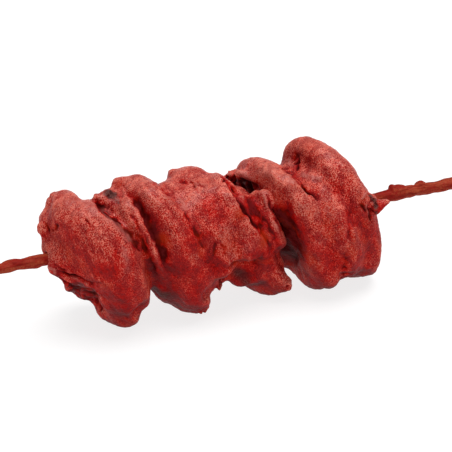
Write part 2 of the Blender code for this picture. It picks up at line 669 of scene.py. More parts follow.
    def follow(self, mark: Crease, flat: np.ndarray) -> Trace:
        """Find how each vertex lies to a crease.

        Args:
            mark: the crease.
            flat: where the vertices lie in its view, in millimetres across and up.

        Returns:
            The trace.
        """
        view = VIEWS[mark.side]
        far, nothing = np.full(len(flat), self.FAR), np.zeros(len(flat))
        trace = Trace(gap=far, close=far, hand=nothing, share=nothing)
        corners = np.array(mark.points, float) * view.unit
        corners[:, 1] *= view.upright
        stretches = len(corners) - 1
        for index in range(stretches):
            start, run = corners[index], corners[index + 1] - corners[index]
            along = np.clip((flat - start) @ run / (run @ run), 0.0, 1.0)
            off = flat - start - along[:, None] * run
            away = np.hypot(off[:, 0], off[:, 1])
            nearer = away < trace.gap
            turned = run[0] * off[:, 1] - run[1] * off[:, 0]
            trace.gap = np.where(nearer, away, trace.gap)
            trace.hand = np.where(nearer, np.sign(turned), trace.hand)
            trace.share = np.where(nearer, (index + along) / stretches, trace.share)
            for step in STROKE.steps:
                spot = (start + run * step) * (1.0, view.upright) / view.unit
                found = self.cast(mark.side, tuple(spot))
                if found is not None:
                    apart = np.linalg.norm(self.points - np.array(found), axis=1) / MM
                    trace.close = np.minimum(trace.close, apart)
        return trace

    def press(self, creases: tuple[Crease, ...]) -> None:
        """Press lines into the surface, or raise them.

        Args:
            creases: the lines, which are worked through in order.
        """
        self.plant()
        way = STROKE
        steady = self.directions(self.normals, way.normal_rounds)
        wander = np.stack([self.noises(relief) for relief in way.strays], axis=1) * way.stray
        patchy = self.noises(way.patches)
        for mark in creases:
            view = VIEWS[mark.side]
            flat = view.flatten(self.points) * view.unit
            flat[:, 1] *= view.upright
            trace = self.follow(mark, flat + wander)
            swing = patchy * min(way.patch_most, way.patch_share / mark.width)
            uneven = np.clip(1.0 + swing, way.shallowest, way.deepest)
            inward = np.minimum(trace.share, 1.0 - trace.share)
            ends = np.clip(inward * way.end_rise + way.end_depth, 0.0, 1.0)
            room = way.room + way.room_by_width * mark.width
            inside = np.clip((room + way.fade - trace.close) / way.fade, 0.0, 1.0)
            reach = inside * ends * uneven
            across = trace.gap / mark.width
            valley = np.exp(-(across**2))
            tint = np.exp(-((across / way.tint) ** 2))
            move = -mark.depth * valley
            if mark.ledge:
                lifted = np.exp(-((across / way.rise) ** 2))
                edge = 0.5 + 0.5 * np.tanh(trace.hand * trace.gap / way.edge)
                move = move * (1.0 - edge) + mark.ledge * lifted * edge
                tint = valley * (1.0 - edge)
            self.points += steady * (move * reach * MM)[:, None]
            # Shade is painted along the line, painted light where its amount is negative, and a
            # pale colour that is partly a painted highlight on raised lines.
            self.marks["stain"] += mark.stain * tint * reach
            self.marks["pale"] += mark.pale * valley * reach
            self.refresh()

    def roughen(self, layers: tuple[Relief, ...], seed: float = 0.0) -> None:
        """Move the surface in and out by some noises, one after the other.

        Args:
            layers: the noises.
            seed: shifts the noises further than their own seeds do.
        """
        for relief in layers:
            values = self.noises(relief, seed)
            self.points += self.normals * (values * relief.depth * MM)[:, None]
            self.refresh()

    def hold_above(self, floor: float) -> None:
        """Keep the surface from sinking under a height."""
        self.points[:, 2] = np.maximum(self.points[:, 2], floor)
        self.refresh()

    def hold_inside(self, low: Vector, high: Vector) -> None:
        """Keep the surface inside a box."""
        self.points = np.clip(self.points, np.array(low), np.array(high))
        self.refresh()

    def keep_marks(self, voxel: float) -> None:
        """Work out how deep each vertex lies and store all marks as attributes.

        Args:
            voxel: the mesh's spacing in millimetres.
        """
        rounds = int((self.WIDE_REACH / voxel) ** 2)
        wide = self.averaged(self.points, rounds)
        narrow = self.averaged(self.points, max(2, rounds // self.NARROW_SHARE))
        # The finish paints shade from the recesses, the pits and the downward faces, and light
        # on the upward faces.
        depth = ((wide - self.points) * self.normals).sum(1) / MM
        self.marks["recess"] = self.averaged(depth, self.RECESS_ROUNDS)
        self.marks["pit"] = ((narrow - self.points) * self.normals).sum(1) / MM
        self.marks["crown"] = self.averaged(self.normals[:, 2], self.CROWN_ROUNDS)
        self.marks["under"] = np.clip(-self.marks["crown"], 0.0, 1.0)
        for name, values in self.marks.items():
            layer = self.piece.data.attributes.new(name, "FLOAT", "POINT")
            layer.data.foreach_set("value", values.astype(np.float32))


class Number:
    """A shader socket that takes part in Python sums."""

    def __init__(self, recipe: "Recipe", socket: Socket) -> None:
        """Wrap a socket of a recipe's tree."""
        self.recipe = recipe
        self.socket = socket

    def sum_with(self, operation: str, *values: object) -> "Number":
        """Return the result of a Math node on some values."""
        made = self.recipe.node("ShaderNodeMath", {"operation": operation}, values)
        return Number(self.recipe, made.outputs[0])

    def __add__(self, other: object) -> "Number":
        """Add."""
        return self.sum_with("ADD", self, other)

    __radd__ = __add__

    def __mul__(self, other: object) -> "Number":
        """Multiply."""
        return self.sum_with("MULTIPLY", self, other)

    __rmul__ = __mul__

    def __sub__(self, other: object) -> "Number":
        """Subtract."""
        return self.sum_with("SUBTRACT", self, other)

    def __rsub__(self, other: object) -> "Number":
        """Subtract from a value."""
        return self.sum_with("SUBTRACT", other, self)

    def swing(self, share: float) -> "Number":
        """Return a share of how far a noise is from its middle."""
        return (self - 0.5) * share

    def ramp(self, low: float, high: float) -> "Number":
        """Let a value rise smoothly from 0 to 1.

        Args:
            low: where the rise starts.
            high: where it ends.

        Returns:
            The risen value.
        """
        made = self.recipe.node(
            "ShaderNodeMapRange",
            {"interpolation_type": "SMOOTHSTEP", "clamp": True},
            {"Value": self, "From Min": low, "From Max": high, "To Min": 0.0, "To Max": 1.0},
        )
        return Number(self.recipe, made.outputs[0])


@dataclass(frozen=True)
class Cloud:
    """A noise of a finish, with its bump size in millimetres.

    Its coordinates are turned by degrees and then scaled. A drift is another noise that
    pushes them about: its bump size and its reach, in millimetres.
    """

    size: float
    detail: float
    roughness: float = 0.5
    turn: Triple = (0.0, 0.0, 0.0)
    scale: Triple = (1.0, 1.0, 1.0)
    drift: Spot | None = None


@dataclass(frozen=True)
class Tint:
    """A colour that comes in over another between two values, up to a share of it."""

    colour: Triple
    low: float
    high: float
    most: float


class Recipe:
    """A material under construction."""

    def __init__(self, name: str) -> None:
        """Start a material with an empty tree.

        Args:
            name: the material's name.
        """
        self.material = bpy.data.materials.new(name)
        self.material.use_nodes = True
        self.tree = self.material.node_tree
        self.tree.nodes.clear()

    def feed(self, socket: Socket, value: object) -> None:
        """Give a socket a link or a value.

        Args:
            socket: the socket.
            value: a number, a socket or a plain value, which is a triple for a colour.
        """
        source = value.socket if isinstance(value, Number) else value
        if isinstance(source, Socket):
            self.tree.links.new(source, socket)
        elif socket.type == "RGBA":
            socket.default_value = (*source, 1.0)
        else:
            socket.default_value = source

    def node(
        self, kind: str, settings: dict[str, object], values: dict | tuple
    ) -> bpy.types.Node:
        """Make any node.

        Args:
            kind: the node's type.
            settings: its properties, which are set first.
            values: its sockets' values or links, by name or in order.

        Returns:
            The node.
        """
        made = self.tree.nodes.new(kind)
        for key, value in settings.items():
            if key == "stops":
                self.set_stops(made.color_ramp, value)
            else:
                setattr(made, key, value)
        named = values.items() if isinstance(values, dict) else enumerate(values)
        for key, value in named:
            self.feed(made.inputs[key], value)
        return made

    def set_stops(self, ramp: bpy.types.ColorRamp, stops: object) -> None:
        """Give a ramp its stops.

        Args:
            ramp: the ramp.
            stops: pairs of a place and a colour.
        """
        while len(ramp.elements) > 1:
            ramp.elements.remove(ramp.elements[-1])
        for index, (place, colour) in enumerate(stops):
            stop = ramp.elements[0] if index == 0 else ramp.elements.new(place)
            stop.position = place
            stop.color = (*colour, 1.0)

    def mark(self, name: str) -> Number:
        """Read one of the skin's attributes.

        Args:
            name: the attribute's name.

        Returns:
            Its value.
        """
        made = self.node(
            "ShaderNodeAttribute", {"attribute_name": name, "attribute_type": "GEOMETRY"}, ()
        )
        return Number(self, made.outputs["Fac"])

    def place(self, turn: Triple, scale: Triple) -> Socket:
        """Turn and then scale object coordinates.

        Args:
            turn: the turn about each axis, in degrees.
            scale: the scale along each axis.

        Returns:
            The coordinates' socket.
        """
        socket = self.node("ShaderNodeTexCoord", {}, ()).outputs["Object"]
        angles = tuple(math.radians(angle) for angle in turn)
        for change in ({"Rotation": angles}, {"Scale": scale}):
            values = {"Vector": socket, **change}
            socket = self.node("ShaderNodeMapping", {"vector_type": "POINT"}, values).outputs[0]
        return socket

    def bent(self, vector: Socket, size: float, reach: float) -> Socket:
        """Push coordinates about by a noise.

        Args:
            vector: the coordinates' socket.
            size: the noise's bump size in millimetres.
            reach: how far it pushes them, in millimetres.

        Returns:
            The pushed coordinates' socket.
        """
        drift = self.node(
            "ShaderNodeTexNoise",
            {"noise_dimensions": "3D"},
            {"Vector": vector, "Scale": 1.0 / (size * MM), "Detail": 1.0},
        )
        step = (reach * MM,) * 3
        moved = self.node(
            "ShaderNodeVectorMath",
            {"operation": "MULTIPLY_ADD"},
            (drift.outputs["Color"], step, vector),
        )
        return moved.outputs[0]

    def cloud(self, look: Cloud) -> Number:
        """Lay a noise over the piece.

        Args:
            look: the noise.

        Returns:
            Its value.
        """
        vector = self.place(look.turn, look.scale)
        if look.drift:
            vector = self.bent(vector, *look.drift)
        values = {
            "Vector": vector,
            "Scale": 1.0 / (look.size * MM),
            "Detail": look.detail,
            "Roughness": look.roughness,
        }
        made = self.node("ShaderNodeTexNoise", {"noise_dimensions": "3D"}, values)
        return Number(self, made.outputs[0])

    def blend(self, share: Number | float, under: object, over: object) -> Socket:
        """Mix two colours.

        Args:
            share: how much of the upper colour shows.
            under: the lower colour.
            over: the upper colour.

        Returns:
            The mixed colour's socket.
        """
        made = self.node("ShaderNodeMix", {"data_type": "RGBA", "blend_type": "MIX"}, ())
        sockets = {socket.identifier: socket for socket in made.inputs}
        for name, value in (("Factor_Float", share), ("A_Color", under), ("B_Color", over)):
            self.feed(sockets[name], value)
        return next(s for s in made.outputs if s.identifier == "Result_Color")

    def tinted(self, under: object, value: Number, tint: Tint) -> Socket:
        """Lay a tint over a colour, where a value lets it come in."""
        share = value.ramp(tint.low, tint.high)
        return self.blend(share * tint.most, under, tint.colour)

    def finish(
        self,
        colour: object,
        roughness: object,
        height: Number,
        bump: float,
        fixed: dict[str, object],
    ) -> bpy.types.Material:
        """Close the material with its shader.

        Args:
            colour: the base colour's socket.
            roughness: a number or a socket.
            height: the bump's height, from 0 to 1.
            bump: what a height of 1 is, in millimetres.
            fixed: other inputs of the shader.

        Returns:
            The finished material.
        """
        relief = self.node(
            "ShaderNodeBump", {}, {"Strength": 1.0, "Distance": bump * MM, "Height": height}
        )
        values = {"Base Color": colour, "Roughness": roughness, "Normal": relief.outputs[0]}
        shader = self.node("ShaderNodeBsdfPrincipled", {}, {**values, **fixed})
        self.node("ShaderNodeOutputMaterial", {}, {"Surface": shader.outputs[0]})
        return self.material


@dataclass(frozen=True)
class SauceFinish:
    """Cooked meat under a red sauce, grainy, with painted shade deep in the folds and painted
    highlights and glints, pinker, on the crowns.
    """

    # The tone runs from painted shade, deepest in the hollows, through the sauce's reds to
    # painted highlights and glints, pinker, at the top.
    tones: tuple[tuple[float, Triple], ...] = (
        (0.0, (0.070, 0.0012, 0.0012)),
        (0.2, (0.30, 0.0025, 0.0020)),
        (0.42, (0.49, 0.0105, 0.0080)),
        (0.60, (0.56, 0.048, 0.034)),
        (0.80, (0.68, 0.150, 0.106)),
        (1.0, (0.75, 0.230, 0.165)),
    )
    patches: Cloud = Cloud(9.0, 3.0)
    spots: Cloud = Cloud(2.6, 4.0, 0.6, FIBRE_TURN, (1.0, 1.0, 0.5))
    fibres: Cloud = Cloud(0.42, 2.0, 0.6, FIBRE_TURN, (1.0, 1.0, 0.22), (2.5, 2.0))
    grain: Cloud = Cloud(0.8, 3.0, 0.75, drift=(1.5, 0.8))
    fleck: Cloud = Cloud(0.26, 1.0, 0.5, FIBRE_TURN, (1.0, 1.0, 0.6))
    warm: Tint = Tint(ORANGE, 0.68, 0.92, 0.4)
    purple: Triple = (0.22, 0.016, 0.018)
    purple_most: float = 0.45
    ripe: Tint = Tint(ORANGE, 0.1, 1.1, 0.75)
    # The pale pink of fat, laid also as a painted highlight on lit ridges and as painted
    # glints.
    greasy_highlight: Tint = Tint((0.46, 0.130, 0.110), 0.1, 1.2, 0.6)
    # Painted shade, laid over faces that turn downwards.
    shaded: Tint = Tint((0.075, 0.007, 0.008), 0.25, 0.85, 0.75)
    charred: Triple = (0.026, 0.009, 0.008)
    ashen: Triple = (0.150, 0.055, 0.048)
    char_most: float = 0.92
    gloss: Triple = (1.0, 0.55, 0.5)
    haze: float = 0.03
    coat: float = 0.38
    coat_roughness: float = 0.3
    refraction: float = 1.42
    roughness: float = 0.42
    bump: float = 0.40

    def material(self) -> bpy.types.Material:
        """Build the finish.

        Returns:
            The material.
        """
        recipe = Recipe("sauced_meat")
        clouds = (self.patches, self.spots, self.fibres, self.grain, self.fleck)
        patches, spots, fibres, grain, fleck = (recipe.cloud(look) for look in clouds)
        crown, recess, stain = (recipe.mark(name) for name in ("crown", "recess", "stain"))

        height = grain * 0.30 + fibres * 0.25 + fleck * 0.45
        # Painted shade: darker in the hollows, in the pits and where the shade mark lies.
        depth = recess * 0.16 + recipe.mark("pit") * 0.7 + stain * 0.32
        grit = grain.swing(0.3) + fleck.swing(3.4) + fibres.swing(0.8)
        # Painted glints, strongest on upward faces and weakest in painted shade.
        painted_glint_share = crown * 0.5 + patches.swing(1.4) + 0.62 - stain * 0.5 - recess * 0.12
        painted_glint_speckle = grit * painted_glint_share.ramp(-0.2, 1.2) * 1.05
        # Upward faces are painted lighter, a painted top light, over the sauce's random tones.
        tone = painted_glint_speckle + spots.swing(0.6) + patches.swing(0.6) + crown * 0.29 + 0.42 - depth
        ramp = recipe.node("ShaderNodeValToRGB", {"stops": self.tones}, (tone,))

        colour = recipe.tinted(ramp.outputs[0], patches + spots * 0.4, self.warm)
        cold = (spots - grain * 0.3).ramp(0.27, 0.42)
        colour = recipe.blend((1.0 - cold) * self.purple_most, colour, self.purple)
        # Orange spots of sauce, brought in also by the painted glints.
        colour = recipe.tinted(colour, recipe.mark("orange") + painted_glint_speckle * 0.5, self.ripe)
        # Pale fat, with painted highlights on ridges and painted glints.
        colour = recipe.tinted(colour, recipe.mark("pale") + painted_glint_speckle * 0.8, self.greasy_highlight)
        # Painted shade on faces that turn downwards.
        colour = recipe.tinted(colour, recipe.mark("under") + painted_glint_speckle * 0.15, self.shaded)
        # Char, and painted shade under the lobes, both in the colour of char.
        char = recipe.mark("char") + spots.swing(1.0) + painted_glint_speckle * 0.6
        burnt = recipe.blend((grain + fleck).ramp(0.85, 1.25), self.charred, self.ashen)
        colour = recipe.blend(char.ramp(0.35, 1.15) * self.char_most, colour, burnt)

        roughness = patches * 0.2 + grain * 0.3 + (self.roughness - 0.25)
        wet = crown + grit * 0.4 + patches.swing(1.2) - stain * 0.4
        fixed = {
            "IOR": self.refraction,
            "Specular IOR Level": self.haze,
            "Specular Tint": self.gloss,
            "Coat Weight": wet.ramp(0.1, 1.2) * self.coat,
            "Coat Roughness": self.coat_roughness,
        }
        return recipe.finish(colour, roughness, height, self.bump, fixed)


@dataclass(frozen=True)
class StickFinish:
    """A wooden stick that shows faintly through dried sauce."""

    wood: Triple = (0.36, 0.060, 0.026)
    sauce: Triple = (0.26, 0.014, 0.009)
    thick: Triple = (0.15, 0.004, 0.003)
    streaks: Cloud = Cloud(0.7, 4.0, 0.6, scale=(0.06, 1.0, 1.0))
    smears: Cloud = Cloud(3.2, 4.0, 0.6, scale=(0.4, 1.0, 1.0))
    grain: Cloud = Cloud(0.6, 2.0)
    haze: float = 0.03
    roughness: float = 0.5
    bump: float = 0.18

    def material(self) -> bpy.types.Material:
        """Build the finish.

        Returns:
            The material.
        """
        recipe = Recipe("sauced_wood")
        clouds = (self.streaks, self.smears, self.grain)
        streaks, smears, grain = (recipe.cloud(look) for look in clouds)
        # The painted-shade mark, which no crease or pocket sets on the stick, so it is nothing
        # here.
        stick_painted_shade = recipe.mark("stain")
        colour = recipe.blend((smears + grain * 0.6).ramp(0.66, 0.98), self.sauce, self.wood)
        colour = recipe.blend((streaks + grain * 0.4).ramp(0.62, 0.9) * 0.8, colour, self.thick)
        colour = recipe.blend((stick_painted_shade + smears * 0.5).ramp(0.5, 1.1), colour, self.thick)
        roughness = smears * 0.3 + (self.roughness - 0.15)
        height = grain * 0.5 + streaks * 0.5
        fixed = {"Specular IOR Level": self.haze}
        return recipe.finish(colour, roughness, height, self.bump, fixed)


@dataclass(frozen=True)
class StripMarks:
    """All that is listed to be done to one strip's skin."""

    scraps: tuple[Scrap, ...]
    pulls: tuple[Pull, ...]
    creases: tuple[Crease, ...]
    pockets: tuple[Pocket, ...]
    tears: tuple[Tear, ...]


@dataclass
class MeatStrip:
    """One strip of meat, from a copy of its solid to its finished skin."""

    name: str
    node: str
    marks: StripMarks
    seed: float
    voxel: float = 0.45
    plug_radius: float = 2.4
    plug_inset: float = 9.0
    soft_reach: float = 1.9
    piece: Piece | None = None

    def close_on_stick(self) -> None:
        """Fill the stick's channel, so that the meat grips the stick."""
        low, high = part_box(self.node)
        stick_low, stick_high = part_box("stick")
        axis = (stick_low + stick_high) / 2.0
        deselect_all()
        bpy.ops.mesh.primitive_cylinder_add(
            vertices=24,
            radius=self.plug_radius * MM,
            depth=(high.x - low.x) - 2.0 * self.plug_inset * MM,
            location=((low.x + high.x) / 2.0, axis.y, axis.z),
            rotation=(0.0, math.radians(90.0), 0.0),
        )
        join_to(self.piece, [bpy.context.object])

    def build(self) -> Piece:
        """Make the strip's skin.

        Returns:
            The finished piece.
        """
        self.piece = copy_solid(self.name, self.node)
        self.close_on_stick()
        fuse_scraps(self.piece, self.marks.scraps)
        remesh(self.piece, self.voxel)
        skin = Skin(self.piece)
        skin.soften(round((self.soft_reach / self.voxel) ** 2))
        skin.pull(self.marks.pulls)
        skin.roughen(SWELLS, self.seed)
        skin.press(self.marks.creases)
        skin.hollow(self.marks.pockets)
        skin.tear(self.marks.tears, self.seed)
        skin.roughen(FIBRES, self.seed)
        skin.hold_inside(*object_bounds())
        skin.hold_above(0.0)
        skin.keep_marks(self.voxel)
        select_only(self.piece)
        bpy.ops.object.shade_smooth()
        return self.piece

    def dress(self, material: bpy.types.Material) -> None:
        """Give the strip its finish and its place in the part.

        Args:
            material: the finish.
        """
        self.piece.data.materials.append(material)
        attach(self.piece, "root")
        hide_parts(self.node)


@dataclass
class SaucedStick:
    """The stick, with its dried sauce in uneven lumps."""

    name: str = "sauced_stick"
    node: str = "stick"
    voxel: float = 0.38
    soft_rounds: int = 3
    piece: Piece | None = None

    def build(self) -> Piece:
        """Make the stick's skin.

        Returns:
            The finished piece.
        """
        self.piece = copy_solid(self.name, self.node)
        fuse_scraps(self.piece, STICK_LUMPS)
        remesh(self.piece, self.voxel)
        skin = Skin(self.piece)
        skin.soften(self.soft_rounds)
        skin.roughen(DRIED)
        skin.keep_marks(self.voxel)
        bpy.ops.object.shade_smooth()
        return self.piece

    def dress(self, material: bpy.types.Material) -> None:
        """Give the stick its finish and its place in the part.

        Args:
            material: the finish.
        """
        self.piece.data.materials.append(material)
        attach(self.piece, "root")
        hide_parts(self.node)


@dataclass(frozen=True)
class Studio:
    """A white floor, faintly lit from below, under a soft overhead light."""

    floor_size: float = 6.0
    floor_shade: float = 0.26
    floor_glow: float = 0.80
    floor_roughness: float = 0.9
    floor_haze: float = 0.1
    floor_bump: float = 0.01
    mist: Cloud = Cloud(400.0, 1.0)
    mist_share: float = 0.02
    mist_warmth: float = 0.98
    sky: float = 0.32
    key_strength: float = 3.0
    key_spread: float = 50.0
    key_from: Triple = (0.08, -0.10, 1.0)

    def build(self) -> None:
        """Make the floor, the sky and the lamp."""
        deselect_all()
        bpy.ops.mesh.primitive_grid_add(
            x_subdivisions=8, y_subdivisions=8, size=self.floor_size, location=(0.0, 0.0, 0.0)
        )
        floor = bpy.context.object
        floor.name = "floor"
        recipe = Recipe("pale_floor")
        mist = recipe.cloud(self.mist)
        shade = self.floor_shade
        warm = (shade, shade, shade * self.mist_warmth)
        colour = recipe.blend(mist * self.mist_share, (shade, shade, shade), warm)
        fixed = {
            "Specular IOR Level": self.floor_haze,
            "Emission Color": WHITE,
            "Emission Strength": self.floor_glow,
        }
        finish = recipe.finish(colour, self.floor_roughness, mist, self.floor_bump, fixed)
        floor.data.materials.append(finish)
        floor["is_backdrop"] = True
        world = bpy.data.worlds.new("sky")
        world.use_nodes = True
        light = world.node_tree.nodes["Background"]
        light.inputs["Color"].default_value = (*WHITE, 1.0)
        light.inputs["Strength"].default_value = self.sky
        bpy.context.scene.world = world
        lamp = bpy.data.lights.new("key", "SUN")
        lamp.energy = self.key_strength
        lamp.angle = math.radians(self.key_spread)
        key = bpy.data.objects.new("key", lamp)
        bpy.context.scene.collection.objects.link(key)
        key.rotation_euler = Vector(self.key_from).to_track_quat("Z", "Y").to_euler()
        bpy.context.scene.view_settings.view_transform = "Standard"


STICK_LUMPS = (
    Scrap((394, 193), (1.5, 2.3, 2.2), (0.0, 0.6, -2.0), 20.0),
    Scrap((400, 192), (3.4, 2.4, 2.3), (0.0, 0.2, -2.0), 8.0),
    Scrap((409, 191), (4.0, 2.2, 2.1), (0.0, 0.0, -2.0), 10.0),
    Scrap((421, 188), (2.2, 2.3, 2.1), (0.0, 0.3, -2.0), 0.0),
    Scrap((442, 186), (5.0, 2.2, 2.1), (0.0, 0.1, -2.0), 10.0),
    Scrap((12, 265), (4.0, 1.9, 2.0), (0.0, 0.0, -2.0), 10.0),
    Scrap((36, 262), (3.4, 2.0, 2.1), (0.0, 0.0, -2.0), 10.0),
)

TIP_SCRAPS = (
    Scrap((112, 193), (2.8, 1.3, 1.8), (0.0, 0.3, 0.6), -15.0),
    Scrap((106, 203), (4.2, 2.6, 2.6), (-0.6, 0.6, 0.2), -20.0),
    Scrap((219, 282), (1.3, 1.4, 1.2), (0.1, -0.4, 0.0), 20.0),
    Scrap((262, 203), (2.6, 3.6, 2.0), (1.3, 1.2, -0.8), 25.0),
    Scrap((254, 197), (2.2, 1.8, 1.8), (1.0, 1.0, -0.4), 20.0),
    Scrap((213, 284), (1.2, 1.3, 1.2), (0.0, -0.5, 0.0), 0.0),
    Scrap((60, 276), (6.5, 1.1, 2.0), (-0.2, -0.7, 0.6), -42.0),
)

TIP_PULLS = (
    Pull((52, 250), (-8, 0), 5.0),
    Pull((60, 264), (-9, 0), 4.5),
    Pull((45, 229), (-7, 0), 2.4),
    Pull((46, 205), (5, 0), 3.4),
    Pull((100, 197), (-3, 1), 2.0),
    Pull((118, 183), (-4, 3), 2.4),
    Pull((165, 179), (2, -2), 2.2),
    Pull((174, 171), (-2, 2), 2.2),
    Pull((190, 170), (0, -8), 6.0),
    Pull((209, 173), (0, -4), 2.2, through=True),
    Pull((84, 200), (0, 2), 2.0, through=True),
    Pull((52, 271), (-3, -3), 2.0, through=True),
    Pull((216, 179), (-2, -6), 4.5),
    Pull((135, 178), (0, -5), 5.0),
    Pull((66, 278), (-3, -3), 3.5),
    Pull((92, 306), (8, 7), 4.5),
    Pull((145, 312), (-13, 4), 4.0),
    Pull((125, 322), (1, 5), 4.0),
    Pull((211, 293), (-8, 0), 3.2),
    Pull((162, 296), (-1, -4), 3.4, through=True),
    Pull((238, 280), (-2, -2), 2.6, through=True),
    Pull((42, 207), (3, 0), 2.5, through=True),
    Pull((83, 194), (-1, -5), 2.2, through=True),
    Pull((70, 283), (-3, -6), 2.2, through=True),
    Pull((88, 306), (4, 5), 2.8, through=True),
    Pull((145, 314), (-4, 2), 2.5, through=True),
    Pull((213, 294), (-4, 0), 2.2, through=True),
    Pull((287, 288), (3, -3), 1.8, through=True),
    Pull((290, 271), (-5, 0), 2.2, through=True),
    Pull((171, 173), (-3, 3), 1.8, through=True),
    Pull((284, 254), (-7, 0), 2.4, through=True),
    Pull((284, 283), (6, -2), 3.2),
    Pull((284, 266), (-3, 0), 2.2),
    Pull((284, 262), (-3, 3), 2.0, through=True),
)

TIP_CREASES = (
    Crease(((164, 268), (158, 252), (150, 234), (142, 218), (134, 205), (126, 193)), 2.3,
           1.7, ledge=0.4, stain=1.5),
    Crease(((139, 251), (130, 237), (120, 226), (110, 217), (100, 209), (92, 201)), 0.9,
           1.0, ledge=0.9, stain=0.8),
    Crease(((139, 250), (130, 236), (120, 225), (110, 216), (100, 208), (92, 200)), 0.5,
           0.5, stain=2.0),
    Crease(((137, 249), (129, 237), (119, 226), (109, 217), (98, 208)), 0.6, 0.3, stain=2.2),
    Crease(((134, 245), (125, 236), (115, 226), (103, 217), (90, 210)), 1.1, -0.3, pale=1.0),
    Crease(((58, 270), (70, 273), (80, 276), (90, 280), (102, 283)), 0.8, 1.8, ledge=0.5,
           stain=1.2),
    Crease(((58, 276), (66, 284), (75, 290), (84, 291)), 0.7, 1.2, stain=0.8),
    Crease(((82, 286), (92, 289), (102, 296)), 2.4, 2.6, ledge=0.4, stain=1.6),
    Crease(((96, 298), (99, 304), (101, 311)), 0.8, 1.4, stain=1.0),
    Crease(((64, 274), (74, 277), (84, 282), (93, 287)), 0.5, -0.4, pale=0.5),
    Crease(((114, 238), (117, 250), (116, 262)), 0.9, 0.1, stain=0.2),
    Crease(((122, 243), (125, 258), (128, 276)), 1.3, -0.4, pale=0.8),
    Crease(((85, 220), (90, 224), (92, 228)), 0.4, 0.6, stain=0.8),
    Crease(((50, 266), (54, 270), (57, 277)), 0.35, -0.3, pale=1.5),
    Crease(((52, 263), (60, 268), (66, 271)), 0.4, 0.6, stain=0.9),
    Crease(((150, 186), (160, 196), (172, 212), (180, 226)), 1.4, 0.7, stain=0.3),
    Crease(((58, 226), (54, 228), (52, 231)), 0.5, 0.7, stain=0.8),
    Crease(((45, 222), (49, 233)), 0.4, 0.6, stain=0.6),
    Crease(((140, 227), (149, 244), (158, 262), (165, 278)), 0.5, -0.2, pale=0.4),
    Crease(((136, 232), (144, 247), (151, 262), (157, 275)), 0.5, 0.6, stain=1.2),
    Crease(((128, 212), (136, 222), (144, 236), (151, 250)), 0.45, 0.4, stain=0.9),
    Crease(((163, 184), (168, 192), (176, 202), (184, 212)), 0.9, 0.8, stain=0.4),
    Crease(((185, 211), (188, 219), (191, 228)), 0.45, 0.35, stain=1.2),
    Crease(((193, 225), (196, 232), (199, 239)), 0.4, 0.3, stain=1.1),
    Crease(((199, 236), (202, 242), (205, 249)), 0.4, 0.3, stain=1.0),
    Crease(((181, 208), (190, 230), (200, 252), (206, 268)), 1.6, 0.25, stain=0.35),
    Crease(((175, 193), (182, 202), (188, 211)), 0.7, -0.3, pale=1.1),
    Crease(((179, 180), (183, 181), (187, 184)), 0.35, 0.4, stain=0.8),
    Crease(((188, 181), (192, 183), (195, 187)), 0.35, 0.6, stain=1.0),
    Crease(((196, 181), (200, 184), (205, 189)), 0.35, 0.7, stain=1.1),
    Crease(((215, 241), (215, 249), (213, 258)), 0.45, 0.35, stain=1.1),
    Crease(((221, 243), (224, 249), (226, 256)), 0.45, 0.6, stain=1.1),
    Crease(((227, 268), (232, 263), (239, 260), (248, 260)), 1.3, 1.0, ledge=0.5, stain=0.9),
    Crease(((250, 257), (262, 259), (274, 264)), 2.0, 0.4, stain=0.5),
    Crease(((259, 232), (250, 219), (243, 209), (235, 197), (228, 188), (221, 180)), 1.4,
           1.8, ledge=0.7, stain=1.6),
    Crease(((258, 231), (249, 218), (242, 208), (235, 196)), 0.4, 0.8, stain=1.2),
    Crease(((262, 190), (266, 205), (272, 220), (279, 235)), 0.5, -0.4, pale=0.8),
    Crease(((266, 194), (271, 208), (278, 222), (283, 232)), 0.5, 0.45, stain=1.3),
    Crease(((262, 213), (269, 227), (276, 240), (280, 250)), 0.5, 0.35, stain=1.1),
    Crease(((256, 222), (264, 236), (272, 250)), 0.5, 0.3, stain=0.8),
    Crease(((247, 195), (251, 207), (258, 220)), 1.4, 0.5, stain=1.0),
    Crease(((247, 194), (253, 190), (261, 187)), 0.5, 0.8, stain=1.2),
    Crease(((276, 194), (280, 205), (285, 220)), 1.2, 0.9, stain=1.2),
    Crease(((275, 200), (280, 213), (286, 230)), 0.8, -0.4, pale=0.4),
    Crease(((64, 10), (58, 22), (54, 36)), 1.0, 0.9, ledge=0.4, stain=0.9, side=Side.BACK),
    Crease(((44, 8), (38, 20), (32, 34)), 0.7, 0.8, stain=1.1, side=Side.BACK),
    Crease(((24, 10), (16, 22), (12, 36)), 0.9, 0.9, ledge=0.4, stain=0.9, side=Side.BACK),
    Crease(((52, 14), (47, 24), (45, 32)), 0.5, 0.5, stain=0.9, side=Side.BACK),
)

